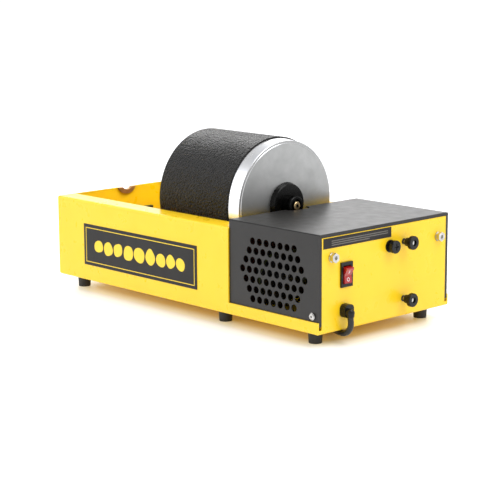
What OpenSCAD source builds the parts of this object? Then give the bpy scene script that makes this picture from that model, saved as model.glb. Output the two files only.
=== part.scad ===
// Rotary rock tumbler: a folded steel tray with a motor box at one end, two rubber-covered
// rollers and one round barrel that lies across them.
// Row frame: X runs along the machine towards the motor end, Y from front to back, Z up.
// The origin is on the bench, under the middle of the machine's bounding box. Millimetres.

/* [Base] */
// Length of the folded base, end wall to end panel
base_l = 402; // [396:1:410]
// Width of the folded base
base_w = 187; // [182:1:190]
// Height of the tray walls above the underside of the base
tray_h = 87.7; // [86:0.1:89]
// Thickness of the folded sheet
sheet = 1.5; // [1.2:0.1:1.6]
// Outside radius of the folds
fold_r = 2.5; // [2:0.1:3]
// Width of the flange that turns in along the top of each long wall
flange_w = 22.9; // [18:0.1:24]
// Height of the rubber feet
foot_h = 13; // [12:0.5:15]

/* [Motor box] */
// Length of the motor box
box_l = 124; // [124:1:126]
// Height of the cover's top above the underside of the base
box_h = 95.7; // [95:0.1:97]
// Height of the sill beside the motor box
sill_h = 12; // [10:0.5:14]
// Width of the lip round the open end of the cover
lip_w = 3.2; // [3:0.1:4]
// Thickness of the cover's sheet
cover_sheet = 1.2; // [1:0.1:1.5]
// Radius of a vent hole
vent_r = 3.6; // [2.5:0.01:3.8]
// Distance between vent holes, along a row and from row to row
vent_pitch = 9.525; // [9:0.005:9.6]

/* [Barrel] */
// Outside radius of the barrel
barrel_r = 68; // [65:0.1:68.5]
// Length of the rubber barrel without its lid
barrel_l = 107.8; // [98:0.1:110]
// Height of the barrel's axis above the underside of the base
barrel_h = 98.2; // [97:0.1:100]
// Radius of the aluminium lid where it meets the barrel
lid_r = 66.5; // [62:0.1:66.8]
// Thickness of the aluminium lid
lid_t = 14.7; // [13:0.1:15]

/* [Rollers] */
// Distance of each roller's axis from the middle of the tray
roller_y = 40.5; // [38:0.5:42]
// Radius of the rubber sleeve on each shaft
sleeve_r = 9.5; // [9:0.1:10]
// Radius of the steel shafts
shaft_r = 4.76; // [4:0.01:5]

/* [Drive] */
// Radius of the large pulley on the drive shaft
big_pulley_r = 27; // [24:0.5:27]
// Radius of the small pulley on the motor shaft
small_pulley_r = 9; // [8.5:0.5:10]
// Radius of the round drive belt
belt_r = 2.4; // [2:0.1:2.5]

/* [Mains cord] */
// Radius of the cord
cord_r = 3; // [2.8:0.1:3.2]

/* [Hidden] */
$fn = 48;
fine = 96;
eps = 0.01;
// Running clearance of a shaft in its bush, and the gap between parts of one body that only meet
running = 0.04;
fit = 0.02;
// Free gap between surfaces on different bodies
gap = 0.3;

// Furthest that the thumb nuts stand out of the end panel
nut_reach = 14;
x_left = -(base_l + nut_reach) / 2;
x_right = x_left + base_l;
x_box = x_right - box_l;
y_wall = base_w / 2;
z_base = foot_h;
z_floor = z_base + sheet;
z_rim = z_base + tray_h;
z_top = z_base + box_h;

// Cover: its sides stand inside the sill, with a little clearance
cover_gap = 0.2;
cover_y = y_wall - sheet - cover_gap;
cover_bottom = z_base + 7.8;
cover_fold = 2;
panel_y = cover_y - lip_w - cover_gap;
panel_top = z_top - lip_w - 0.4;
slot_bottom = z_base + 4.4;
vent_rows = [7, 8, 9, 10, 9, 8, 7];
vent_mid = z_base + 49.7;
// Cut-out in the cover's top, and notch in the bulkhead under it, for the knob of the lid
knob_notch_r = 16;
knob_cut_w = 30;
knob_cut_l = 9;
knob_cut_corner = 7;

// Notch in the top of the end wall, and its liner: arcs round a point above the wall's edge
liner_y = 1.5;
liner_z = z_rim + 6.5;
liner_bore_r = 9.3;
liner_rim_r = 14.2;
notch_r = liner_bore_r + 1.2;

// Rollers
roller_z = z_base + barrel_h
         - sqrt(pow(barrel_r + sleeve_r + gap, 2) - pow(roller_y, 2));
bush_r = 7.9;
bush_flange_r = 10.5;
bush_flange_t = 2;
bush_l = 7;
bush_boss = 6;
sleeve_start = x_left + 22;
sleeve_end = x_box - 12;
collar_r = 8.5;
collar_l = 7;

// Barrel
barrel_z = z_base + barrel_h;
lid_face = x_box - 14.3;
barrel_end = lid_face - lid_t;
barrel_start = barrel_end - barrel_l;
barrel_bore = 57;
barrel_lip_r = 50;
barrel_lip_t = 8;
barrel_bottom_t = 9;
lid_wall = 3.2;
gasket_t = 3;
stud_r = 4;
knob_flange_r = 22.8;
knob_flange_t = 5;
knob_taper = 1.5;
knob_r = 10.3;
knob_neck_l = 6.3;
knob_rim_r = 9.6;
knob_end = x_box + 1.4;
stud_tip = knob_end + 1.1;

// Motor: shaft parallel to X, two long bolts above and below it
motor_y = 25.8;
bolt_high = z_base + 74.6;
bolt_low = z_base + 17.7;
motor_z = (bolt_high + bolt_low) / 2;
bolt_r = 1.9;
bolt_span = (bolt_high - bolt_low) / 2;
core_x0 = x_box + 68;
core_x1 = x_box + 92;
bracket_t = 2.5;
bracket_gap = 12;
rotor_r = 14;
motor_shaft_r = 2.5;
pulley_x = x_box + 16;
pulley_w = 9;
groove_w = 2 * belt_r + 0.8;

thumb_nut_r = 6.8;

// End panel fittings: [distance from the middle of the panel, height above the base]
switch_y = -56.1;
switch_z = z_base + 53.9;
fuse_y = 5.5;
fuse_z = z_base + 72.6;
relief_y = -58;
relief_z = z_base + 19.3;
fuse_back = x_right - 29.5;
end_screws = [[-75, z_base + 72.5], [76.5, z_base + 73.1]];
side_screw_x = x_right - 8.3;
side_screw_z = z_base + 17.3;

// Feet: along X, and in from each long side
foot_xs = [x_left + 21, x_right - 148, x_right - 21];
foot_y = y_wall - 18;
foot_top_r = 7.3;
foot_bottom_r = 6.5;

// Mains cord, left loose: down from the strain relief, round under the edge of the base, down to
// the bench and out behind the machine
bend_r = 12.4;
bend_x = x_right - 1.9;
bend_z = z_base + 9.1;
lead_points = concat(
    [[204.3, -60, 27.6], [204.3, -60, 25.2]],
    [for (a = [0:15:90]) [bend_x + bend_r * cos(a), -59.7 + a / 90, bend_z - bend_r * sin(a)]],
    [[187.3, -57.7, 9.6], [181, -55.4, 9.6], [174.5, -51.6, 9.4], [168, -46.6, 8.7], [161, -40.2, 7.5],
     [153.5, -33, 6], [146, -25.6, 4.7], [138.5, -17.8, 3.8], [131, -9, 3.4], [124, 1, 3.4],
     [117.2, 12.5, 3.4], [110.7, 24.5, 3.4], [104, 37.5, 3.4], [97, 51, 3.4], [90, 66, 3.4],
     [81, 80, 3.4], [68, 92, 3.4], [52, 100, 3.6], [36, 104, 3.8], [20, 105, 3.8]]);
// From the coil to the plug
tail_points = [
    [-12, 105.2, 9.5], [-27, 107, 8.4], [-39, 109, 8.2], [-50, 111, 9.2], [-60, 112, 10.5]];
coil_x = 5;
coil_y = 150;
coil_outer = 45;
coil_turns = 3.5;
coil_pitch = 6.1;
coil_inner = coil_outer - coil_pitch * coil_turns;
coil_low = 3.8;
coil_high = coil_low + 6.1;
tie_t = 0.6;
tie_w = 8;

// ---- Shared shapes ----

// A block from its lowest corner to its highest
module block(low, high) {
    translate(low) cube(high - low);
}

// A cylinder along X from x0 to x1, about the line at y and z
module rod(x0, x1, y, z, r, r2 = undef, n = $fn) {
    translate([x0, y, z]) rotate([0, 90, 0])
        cylinder(h = x1 - x0, r1 = r, r2 = is_undef(r2) ? r : r2, $fn = n);
}

// A tube along X
module tube(x0, x1, y, z, r_out, r_in, n = $fn) {
    difference() {
        rod(x0, x1, y, z, r_out, n = n);
        rod(x0 - 1, x1 + 1, y, z, r_in, n = n);
    }
}

// A hole through the sheet, along X
module hole_x(x, y, z, r) {
    rod(x - 3, x + 3, y, z, r);
}

// A rectangle with rounded corners, its lower edge on the X axis; sharp at the top if asked
module round_rect(w, h, r, top = true) {
    translate([-w / 2 + r, 0]) square([w - 2 * r, h]);
    translate([-w / 2, r]) square([w, top ? h - 2 * r : h - r]);
    for (s = [-1, 1]) {
        translate([s * (w / 2 - r), r]) circle(r);
        if (top) translate([s * (w / 2 - r), h - r]) circle(r);
        else translate([s * (w / 2 - r) - r, h - r]) square([2 * r, r]);
    }
}

// The same shape on the front and on the back of the machine
module both_sides() {
    children();
    mirror([0, 1, 0]) children();
}

// Stands a YZ outline up and runs it along X
module along_x(x0, x1) {
    translate([x0, 0, 0]) rotate([90, 0, 90]) linear_extrude(x1 - x0) children();
}

// Stands an XZ outline up and runs it along Y, centred
module along_y(w) {
    translate([0, w / 2, 0]) rotate([90, 0, 0]) linear_extrude(w) children();
}

function unit(v) = v / norm(v);
function turned(n, t) = unit(n - (n * t) * t);

// A round tube that follows a list of points, with a ring of points at each
module sweep(points, r, sides = 8) {
    last = len(points) - 1;
    ways = [for (i = [0:last]) unit(points[min(i + 1, last)] - points[max(i - 1, 0)])];
    norms = [for (i = 0, n = turned([0, 1, 0], ways[0]); i <= last;
                  i = i + 1, n = i <= last ? turned(n, ways[i]) : n) n];
    rings = [for (i = [0:last]) for (k = [0:sides - 1])
        points[i] + r * (cos(360 * k / sides) * norms[i]
                       + sin(360 * k / sides) * cross(ways[i], norms[i]))];
    walls = [for (i = [0:last - 1]) for (k = [0:sides - 1]) let (n = (k + 1) % sides)
        [i * sides + k, (i + 1) * sides + k, (i + 1) * sides + n, i * sides + n]];
    polyhedron(points = rings, faces = concat(walls,
        [[for (k = [0:sides - 1]) k]],
        [[for (k = [sides - 1:-1:0]) last * sides + k]]));
}

// ---- Base ----

module base_outline() {
    translate([0, z_base]) round_rect(base_w, tray_h, fold_r);
}

module base_inside() {
    translate([0, z_floor])
        round_rect(base_w - 2 * sheet, tray_h - 2 * sheet, fold_r - sheet);
}

module tray_section() {
    difference() {
        base_outline();
        base_inside();
        translate([-y_wall + flange_w, z_floor + fold_r])
            square([base_w - 2 * flange_w, tray_h]);
    }
}

module sill_section() {
    difference() {
        intersection() {
            base_outline();
            translate([-y_wall, z_base]) square([base_w, sill_h]);
        }
        base_inside();
    }
}

module end_panel() {
    block([x_right - sheet, -panel_y, z_base], [x_right, panel_y, panel_top]);
    block([x_right - sheet, -y_wall, z_base], [x_right, y_wall, slot_bottom]);
    // joggled tabs that the cover's side screws hold
    inside = cover_y - cover_sheet - fit;
    both_sides() {
        block([x_right - 5, panel_y - sheet, z_base + 9], [x_right - eps, panel_y, z_base + 27]);
        block([x_right - 5, panel_y - sheet, z_base + 9], [x_right - 5 + sheet, inside, z_base + 27]);
        block([x_right - 16, inside - sheet, z_base + 9], [x_right - 5 + sheet, inside, z_base + 27]);
    }
}

// Rounds the lower edges at the two ends
module end_fold() {
    along_y(base_w + 2) translate([(x_left + x_right) / 2, z_base])
        round_rect(base_l, 200, fold_r, top = false);
}

module base_pan() {
    color("gold") difference() {
        intersection() {
            union() {
                along_x(x_left, x_box) tray_section();
                along_x(x_box - eps, x_right) sill_section();
                along_x(x_left, x_left + sheet) base_outline();
                end_panel();
            }
            end_fold();
        }
        // notch in the end wall and the seats of the bushes
        hole_x(x_left, liner_y, liner_z, notch_r);
        for (s = [-1, 1]) hole_x(x_left, s * roller_y, roller_z, bush_r + fit);
        // end panel
        block([x_right - 3, switch_y - 6.6, switch_z - 9.8],
              [x_right + 1, switch_y + 6.6, switch_z + 9.8]);
        hole_x(x_right, fuse_y, fuse_z, 5.5);
        hole_x(x_right, relief_y, relief_z, 5.6);
        for (z = [bolt_high, bolt_low]) hole_x(x_right, motor_y, z, 3.1);
        for (at = end_screws) hole_x(x_right, at[0], at[1], 2.6);
        for (s = [-1, 1]) translate([side_screw_x, s * cover_y, side_screw_z])
            rotate([90, 0, 0]) cylinder(h = 12, r = 1.65, center = true);
        for (x = foot_xs, s = [-1, 1]) translate([x, s * foot_y, z_base - 1])
            cylinder(h = 4, r = 2.1);
    }
}

// Wall between the tray and the motor box, with a foot turned into the motor box
module bulkhead() {
    x = x_box + cover_gap;
    y = cover_y - cover_sheet - 2 * cover_gap;
    color("gold") difference() {
        union() {
            block([x, -y, z_floor + eps], [x + sheet, y, z_top - cover_sheet - cover_gap]);
            block([x, -y, z_floor + eps], [x + 12, y, z_floor + sheet]);
        }
        for (s = [-1, 1]) hole_x(x, s * roller_y, roller_z, bush_r + fit);
        hole_x(x, 0, barrel_z, knob_notch_r);
    }
}

module cover_section() {
    difference() {
        translate([0, cover_bottom - 10])
            round_rect(2 * cover_y, z_top - cover_bottom + 10, cover_fold);
        translate([0, cover_bottom - 20])
            round_rect(2 * (cover_y - cover_sheet), z_top - cover_bottom - cover_sheet + 20,
                       cover_fold - cover_sheet);
        translate([-100, cover_bottom - 30]) square([200, 30]);
    }
}

module cover_lip() {
    difference() {
        translate([0, cover_bottom - 10])
            round_rect(2 * cover_y, z_top - cover_bottom + 10, cover_fold);
        translate([-cover_y + lip_w, cover_bottom - 30])
            square([2 * (cover_y - lip_w), z_top - lip_w - cover_bottom + 30]);
        translate([-100, cover_bottom - 30]) square([200, 30]);
    }
}

// Grille in the cover's front side: rows of holes, each row half a pitch off the next
module vents() {
    mid = (x_box + x_right) / 2;
    for (row = [0:len(vent_rows) - 1], i = [0:vent_rows[row] - 1])
        translate([mid + (i - (vent_rows[row] - 1) / 2) * vent_pitch, -cover_y + 5,
                   vent_mid + ((len(vent_rows) - 1) / 2 - row) * vent_pitch])
            rotate([90, 0, 0]) cylinder(h = 12, r = vent_r, $fn = 24);
}

module cover() {
    color("dimgray") difference() {
        union() {
            along_x(x_box, x_right) cover_section();
            along_x(x_right - cover_sheet, x_right) cover_lip();
        }
        vents();
        translate([x_box + knob_cut_l, 0, z_top - 5]) rotate([0, 0, 90])
            linear_extrude(10) round_rect(knob_cut_w, 20, knob_cut_corner);
        translate([side_screw_x, 0, side_screw_z]) rotate([90, 0, 0])
            cylinder(h = base_w + 10, r = 2.2, center = true);
    }
}

// Angle lugs inside the cover that take the end screws
module cover_lugs() {
    top = z_top - cover_sheet - fit;
    back = x_right - sheet - fit;
    color("silver") for (at = end_screws) difference() {
        union() {
            block([back - 16, at[0] - 7, top - 2], [back, at[0] + 7, top]);
            block([back - 2, at[0] - 7, at[1] - 8], [back, at[0] + 7, top]);
        }
        hole_x(back, at[0], at[1], 2.1);
    }
}

// Washer and hexagon-head screw along X; the head has a round hole in its end
module hex_screw_x(x, y, z, shank) {
    washer_t = 1.1;
    head_r = 4.9;
    head_end = x + washer_t + 4.3;
    tube(x + eps, x + washer_t, y, z, 4.8, 2.04);
    difference() {
        union() {
            rod(x - shank, x + washer_t + eps, y, z, 2.05);
            rod(x + washer_t, head_end, y, z, head_r, n = 6);
        }
        rod(head_end - 2.4, head_end + 1, y, z, 1.9);
    }
}

module cover_end_screws() {
    color("silver") for (at = end_screws) hex_screw_x(x_right, at[0], at[1], 10);
}

module cover_side_screws() {
    color("silver") for (s = [-1, 1])
        translate([side_screw_x, s * cover_y, side_screw_z])
            rotate([0, 0, s * 90]) difference() {
                union() {
                    rod(eps, 1.5, 0, 0, 3.6);
                    rod(1.5 - eps, 2.3, 0, 0, 3.6, 2.6);
                    rod(-8, 1, 0, 0, 1.6);
                }
                rod(1, 3, 0, 0, 1.3, n = 6);
            }
}

module nameplate() {
    y = -y_wall;
    color("dimgray") block([x_left + 46.3, y - 0.5, z_base + 17.7],
                           [x_left + 231.5, y - eps, z_base + 62.7]);
}

module end_label() {
    color("dimgray") block([x_right + eps, -y_wall + 6.8, z_base + 81.5],
                           [x_right + 0.3, -y_wall + 100.6, z_base + 91.4]);
}

// Liner of a shallow round notch: a rim against the inside of the end wall, and a collar in the notch
module notch_liner() {
    inside = x_left + sheet + fit;
    color("peru") intersection() {
        difference() {
            union() {
                rod(inside, inside + 2.5, liner_y, liner_z, liner_rim_r);
                rod(x_left, inside + 1, liner_y, liner_z, notch_r - fit);
            }
            rod(x_left - 1, inside + 4, liner_y, liner_z, liner_bore_r);
        }
        block([x_left - 1, liner_y - 15, z_rim - 15], [x_left + 8, liner_y + 15, z_rim]);
    }
}

// Rubber strip on the end wall that the barrel may rub against
module barrel_bumper() {
    x = x_left + sheet + fit;
    color("black") block([x, -37.7, z_base + 47], [x + 4, 37.7, z_base + 62.3]);
}

module foot(x, side) {
    color("black") difference() {
        translate([x, side * foot_y, 0]) cylinder(h = foot_h - fit, r1 = foot_bottom_r, r2 = foot_top_r);
        translate([x, side * foot_y, -1]) cylinder(h = 6, r = 4);
        translate([x, side * foot_y, -1]) cylinder(h = foot_h + 2, r = 2.1);
    }
}

module foot_screws() {
    color("silver") for (x = foot_xs, s = [-1, 1]) translate([x, s * foot_y, 0]) {
        difference() {
            union() {
                translate([0, 0, 2.6]) cylinder(h = 2.3, r = 3.6);
                translate([0, 0, 3]) cylinder(h = foot_h + 3, r = 2);
            }
            translate([0, 0, 2]) cylinder(h = 1.8, r = 1.3, $fn = 6);
        }
        translate([0, 0, z_floor + fit]) difference() {
            cylinder(h = 3, r = 4.2, $fn = 6);
            translate([0, 0, -1]) cylinder(h = 5, r = 2 + fit);
        }
    }
}

// ---- Rollers ----

module roller_shaft(side, x_end) {
    color("silver") rod(x_left + 0.5, x_end, side * roller_y, roller_z, shaft_r, n = fine);
}

module roller_sleeve(side) {
    color("black") tube(sleeve_start, sleeve_end, side * roller_y, roller_z, sleeve_r,
                        shaft_r + fit, n = fine);
}

module collar(x, side) {
    difference() {
        rod(x, x + collar_l, side * roller_y, roller_z, collar_r);
        rod(x - 1, x + collar_l + 1, side * roller_y, roller_z, shaft_r + fit);
        translate([x + collar_l / 2, side * roller_y, roller_z + collar_r - 2])
            cylinder(h = 4, r = 1.5, $fn = 6);
    }
}

module roller_collars(side) {
    left = x_left + sheet + bush_boss + gap;
    color("silver") {
        collar(left, side);
        collar(x_box - bush_flange_t - gap - collar_l, side);
    }
}

// Flanged bush: its flange lies on the tray side of the wall at x, its barrel goes through
module bush(x, side, way, through, flange_t) {
    color("goldenrod") difference() {
        union() {
            rod(min(x, x + way * through), max(x, x + way * through),
                side * roller_y, roller_z, bush_r);
            rod(min(x, x - way * flange_t), max(x, x - way * flange_t),
                side * roller_y, roller_z, bush_flange_r);
        }
        rod(x - 20, x + 20, side * roller_y, roller_z, shaft_r + running, n = fine);
    }
}

// ---- Drive pulley on the roller shaft ----

module grooved(y, z, r, w, root) {
    difference() {
        rod(pulley_x - w / 2, pulley_x + w / 2, y, z, r, n = fine);
        translate([pulley_x, y, z]) rotate([0, 90, 0]) rotate_extrude($fn = fine)
            translate([root + belt_r, 0]) {
                circle(belt_r + gap);
                translate([0, -belt_r - gap]) square([20, 2 * (belt_r + gap)]);
            }
    }
}

module drive_pulley() {
    color("gray") difference() {
        union() {
            grooved(-roller_y, roller_z, big_pulley_r, pulley_w, big_pulley_r - 5);
            rod(pulley_x, pulley_x + 14, -roller_y, roller_z, 9);
        }
        rod(pulley_x - 20, pulley_x + 20, -roller_y, roller_z, shaft_r + fit);
        for (a = [0:60:300]) rotate_about(-roller_y, roller_z, a)
            rod(pulley_x - 20, pulley_x + 20, -roller_y, roller_z + 15, 3.6);
    }
}

module rotate_about(y, z, a) {
    translate([0, y, z]) rotate([a, 0, 0]) translate([0, -y, -z]) children();
}

module motor_pulley() {
    color("gray") difference() {
        union() {
            grooved(motor_y, motor_z, small_pulley_r, pulley_w, small_pulley_r - 5 + 0.9);
            rod(pulley_x + pulley_w / 2 - 0.5, pulley_x + 11, motor_y, motor_z, 5.5);
        }
        rod(pulley_x - 20, pulley_x + 20, motor_y, motor_z, motor_shaft_r + fit);
    }
}

// Round belt: two arcs on the pulleys' pitch circles and the two straight runs between them
belt_big = big_pulley_r - 5 + belt_r;
belt_small = small_pulley_r - 5 + 0.9 + belt_r;
belt_dy = motor_y + roller_y;
belt_dz = motor_z - roller_z;
belt_centres = norm([belt_dy, belt_dz]);
belt_tilt = atan2(belt_dz, belt_dy);
belt_splay = asin((belt_big - belt_small) / belt_centres);

// [y, z, radius, angle] of each ring of the belt, all the way round
belt_rings = concat(
    [for (i = [0:24]) let (a = belt_tilt + 90 - belt_splay + i * (180 + 2 * belt_splay) / 24)
        [-roller_y, roller_z, belt_big, a]],
    [for (i = [0:12]) let (a = belt_tilt - 90 + belt_splay + i * (180 - 2 * belt_splay) / 12)
        [motor_y, motor_z, belt_small, a]]);

module drive_belt() {
    n = len(belt_rings);
    m = 12;
    color("olivedrab") polyhedron(
        points = [for (g = belt_rings) for (k = [0:m - 1])
            let (r = g[2] + belt_r * cos(360 * k / m))
            [pulley_x + belt_r * sin(360 * k / m), g[0] + r * cos(g[3]), g[1] + r * sin(g[3])]],
        faces = [for (i = [0:n - 1]) for (k = [0:m - 1]) let (j = (i + 1) % n, q = (k + 1) % m)
            [i * m + k, i * m + q, j * m + q, j * m + k]]);
}

// ---- Barrel ----

module barrel_shell() {
    color([0.18, 0.18, 0.17]) difference() {
        union() {
            rod(barrel_start + 3, barrel_end - 1, 0, barrel_z, barrel_r, n = fine);
            rod(barrel_start, barrel_start + 3 + eps, 0, barrel_z, barrel_r - 3, barrel_r, n = fine);
            rod(barrel_end - 1 - eps, barrel_end, 0, barrel_z, barrel_r, barrel_r - 1, n = fine);
        }
        rod(barrel_start + barrel_bottom_t, barrel_end - barrel_lip_t, 0, barrel_z, barrel_bore, n = 10);
        rod(barrel_end - barrel_lip_t - 1, barrel_end + 1, 0, barrel_z, barrel_lip_r, n = fine);
        rod(barrel_end - 4, barrel_end + 1, 0, barrel_z, 52, 56, n = fine);
        rod(barrel_start - 1, barrel_start + 2.5, 0, barrel_z, 40, n = fine);
    }
}

module inner_lid() {
    x = barrel_end - barrel_lip_t - fit;
    color("silver") difference() {
        union() {
            rod(x - 3, x, 0, barrel_z, 53, n = fine);
            rod(x - eps, x + 6, 0, barrel_z, 9);
        }
        rod(x - 5, x + 10, 0, barrel_z, stud_r + fit);
    }
}

module lid_gasket() {
    x = barrel_end + fit;
    color("black") tube(x, x + gasket_t, 0, barrel_z, 59.9, 57.5, n = fine);
}

// Cup with a slightly tapered wall and a raised middle on its face
module outer_lid() {
    step = 0.5;
    color("lightgray") difference() {
        union() {
            rod(barrel_end + fit, lid_face - step - 0.4, 0, barrel_z, lid_r, lid_r - 1.3, n = fine);
            rod(lid_face - step - 0.4 - eps, lid_face - step, 0, barrel_z, lid_r - 1.3, lid_r - 1.7,
                n = fine);
            rod(lid_face - step - eps, lid_face, 0, barrel_z, lid_r - 3.7, lid_r - 4.1, n = fine);
        }
        rod(barrel_end - 1, lid_face - lid_wall, 0, barrel_z, lid_r - 1.7 - lid_wall, n = fine);
        rod(barrel_end - 1, lid_face + 1, 0, barrel_z, stud_r + 0.3);
    }
}

// Stud with a round head inside the barrel; its brass tip has a hexagon socket
module lid_stud() {
    x = barrel_end - barrel_lip_t - 3 - 2 * fit;
    color("silver") difference() {
        union() {
            rod(x - 4, x, 0, barrel_z, 8);
            rod(x - eps, stud_tip - 1.6, 0, barrel_z, stud_r);
            rod(stud_tip - 1.6 - eps, stud_tip - 0.5, 0, barrel_z, stud_r + 0.3);
            rod(stud_tip - 0.5 - eps, stud_tip, 0, barrel_z, stud_r + 0.3, stud_r - 0.2);
        }
        rod(stud_tip - 5, stud_tip + 1, 0, barrel_z, 2.2, n = 6);
    }
}

// Knob: a tapered flange with a ribbed edge, a neck, and a rim round a recess for the stud's tip
module lid_knob() {
    base = lid_face + 0.05;
    front = lid_face + knob_flange_t;
    neck = front + knob_neck_l;
    color([0.1, 0.1, 0.1]) difference() {
        union() {
            rod(base, front - 0.6, 0, barrel_z, knob_flange_r, knob_flange_r - knob_taper, n = fine);
            rod(front - 0.6 - eps, front, 0, barrel_z, knob_flange_r - knob_taper,
                knob_flange_r - knob_taper - 0.6, n = fine);
            rod(front - eps, neck, 0, barrel_z, knob_r, n = fine);
            rod(neck - eps, knob_end - 0.8, 0, barrel_z, knob_rim_r - 0.7, n = fine);
            rod(neck + 1.4, knob_end - 0.5, 0, barrel_z, knob_rim_r, n = fine);
            rod(knob_end - 0.5 - eps, knob_end, 0, barrel_z, knob_rim_r, knob_rim_r - 0.5, n = fine);
        }
        rod(base - 1, stud_tip + 1, 0, barrel_z, stud_r + 0.1);
        rod(knob_end - 3, stud_tip + 1, 0, barrel_z, 6.8);
        for (a = [0:10:350]) rotate_about(0, barrel_z, a)
            rod(base - 1, front + 1, 0, barrel_z + knob_flange_r + 0.3, 0.8, n = 16);
    }
}

// ---- Motor ----

module bolt_holes(r) {
    for (z = [bolt_high, bolt_low]) rod(core_x0 - 60, x_right + 20, motor_y, z, r);
}

// Stack of laminations: the rotor's bore on one side, the coil's leg on the other
module stator_core() {
    color("slategray") difference() {
        block([core_x0, motor_y - 21, bolt_low - 5], [core_x1, motor_y + 44, bolt_high + 5]);
        rod(core_x0 - 1, core_x1 + 1, motor_y, motor_z, rotor_r + 0.5);
        block([core_x0 - 1, motor_y + 18, motor_z - 21], [core_x1 + 1, motor_y + 30, motor_z + 21]);
        block([core_x0 - 1, motor_y + 14, motor_z - 2], [core_x1 + 1, motor_y + 19, motor_z + 2]);
        bolt_holes(bolt_r + 0.1);
    }
}

// Coil round the leg, with a bobbin flange at each end
module stator_coil() {
    leg = [motor_y + 30, motor_y + 44];
    wrap = 9;
    color("sienna") difference() {
        union() {
            block([core_x0 - wrap, leg[0] - wrap, motor_z - 18],
                  [core_x1 + wrap, leg[1] + wrap, motor_z + 18]);
            for (s = [-1, 1])
                block([core_x0 - wrap - 1.5, leg[0] - wrap - 1.5, motor_z + s * 19 - 1.2],
                      [core_x1 + wrap + 1.5, leg[1] + wrap + 1.5, motor_z + s * 19 + 1.2]);
        }
        block([core_x0 - fit, leg[0] - fit, motor_z - 30], [core_x1 + fit, leg[1] + fit, motor_z + 30]);
    }
}

// Bearing bracket: legs on the two bolts, and a cup for the shaft that stands off the core
module motor_bracket(face, way) {
    far = face + way * bracket_gap;
    plate = face + way * bracket_t;
    color("silver") difference() {
        union() {
            for (z = [bolt_high, bolt_low]) {
                block([min(face, far), motor_y - 7, z - 5], [max(face, far), motor_y + 7, z + 5]);
            }
            block([min(far, far - way * bracket_t), motor_y - 7, bolt_low - 5],
                  [max(far, far - way * bracket_t), motor_y + 7, bolt_high + 5]);
            rod(min(far, far - way * 7), max(far, far - way * 7), motor_y, motor_z, 8);
        }
        rod(core_x0 - 60, core_x1 + 60, motor_y, motor_z, motor_shaft_r + running);
        bolt_holes(bolt_r + 0.1);
    }
}

module motor_bolts() {
    color("silver") for (z = [bolt_high, bolt_low]) {
        rod(core_x0 - bracket_gap - 3, x_right + nut_reach - 1.6, motor_y, z, bolt_r);
        rod(core_x0 - bracket_gap - 3.2, core_x0 - bracket_gap - fit, motor_y, z, 3.6, n = 6);
    }
}

// Rubber sleeves that carry the motor on the end panel, with a neck that lines its hole
module motor_isolators() {
    start = core_x1 + bracket_gap + fit;
    color("black") for (z = [bolt_high, bolt_low]) difference() {
        union() {
            rod(start, x_right - sheet - fit, motor_y, z, 6);
            rod(x_right - sheet - 2 * fit, x_right + 0.4, motor_y, z, 3);
        }
        rod(start - 1, x_right + 10, motor_y, z, bolt_r + 0.05);
    }
}

module rotor() {
    color("slategray") difference() {
        union() {
            rod(core_x0 + 1, core_x1 - 1, motor_y, motor_z, rotor_r);
            rod(core_x0 - 1, core_x0 + 1 + eps, motor_y, motor_z, rotor_r - 2);
            rod(core_x1 - 1 - eps, core_x1 + 1, motor_y, motor_z, rotor_r - 2);
        }
        rod(core_x0 - 5, core_x1 + 5, motor_y, motor_z, motor_shaft_r + fit);
    }
}

module motor_shaft() {
    color("silver") rod(pulley_x - 7, core_x1 + bracket_gap + 3, motor_y, motor_z, motor_shaft_r);
}

module fan() {
    x = pulley_x + 17;
    color("white") difference() {
        union() {
            rod(x, x + 12, motor_y, motor_z, 7);
            for (a = [0:60:300]) rotate_about(motor_y, motor_z, a)
                translate([x + 6, motor_y, motor_z + 17]) rotate([0, 0, 35])
                    cube([1.6, 12, 24], center = true);
            tube(x + 3, x + 9, motor_y, motor_z, 30, 28.2);
        }
        rod(x - 5, x + 20, motor_y, motor_z, motor_shaft_r + fit);
    }
}

// ---- End panel fittings ----

module thumb_nut(z) {
    start = x_right + 4;
    end = x_right + nut_reach;
    color([0.12, 0.12, 0.12]) difference() {
        union() {
            rod(start, start + 6, motor_y, z, 4.2, 4.8);
            rod(start + 6 - eps, end - 0.6, motor_y, z, thumb_nut_r);
            rod(end - 0.6 - eps, end, motor_y, z, thumb_nut_r, thumb_nut_r - 0.6);
        }
        rod(start - 1, end + 1, motor_y, z, bolt_r + 0.08);
        rod(end - 2.2, end + 1, motor_y, z, 2.9);
        for (a = [0:30:330]) rotate_about(motor_y, z, a)
            rod(start + 6.5, end + 1, motor_y, z + thumb_nut_r + 0.5, 0.9, n = 16);
    }
}

module switch_housing() {
    color([0.15, 0.15, 0.16]) difference() {
        union() {
            block([x_right + eps, switch_y - 7.75, switch_z - 12],
                  [x_right + 2, switch_y + 7.75, switch_z + 12]);
            block([x_right - 20, switch_y - 6.5, switch_z - 9.7],
                  [x_right + 1, switch_y + 6.5, switch_z + 9.7]);
            // three spade terminals
            for (k = [-1, 0, 1])
                block([x_right - 28, switch_y - 2.4, switch_z + k * 6.5 - 0.4],
                      [x_right - 19, switch_y + 2.4, switch_z + k * 6.5 + 0.4]);
        }
        block([x_right - 8, switch_y - 5.3, switch_z - 8.9],
              [x_right + 3, switch_y + 5.3, switch_z + 8.9]);
    }
}

rocker_x = x_right - 1.5;
rocker_tilt = 10;

// Rocker: two faces that meet in a shallow valley, on a pivot barrel
module rocker_outline() {
    face = 4.4;
    rise = 2.3;
    half = 8;
    polygon([[-4, -5], [-4, 5], [0.6, half], [face + rise - 1.2, half], [face + rise, half - 0.9],
             [face, 0], [face + rise, -half + 0.9], [face + rise - 1.2, -half], [0.6, -half]]);
}

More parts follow.
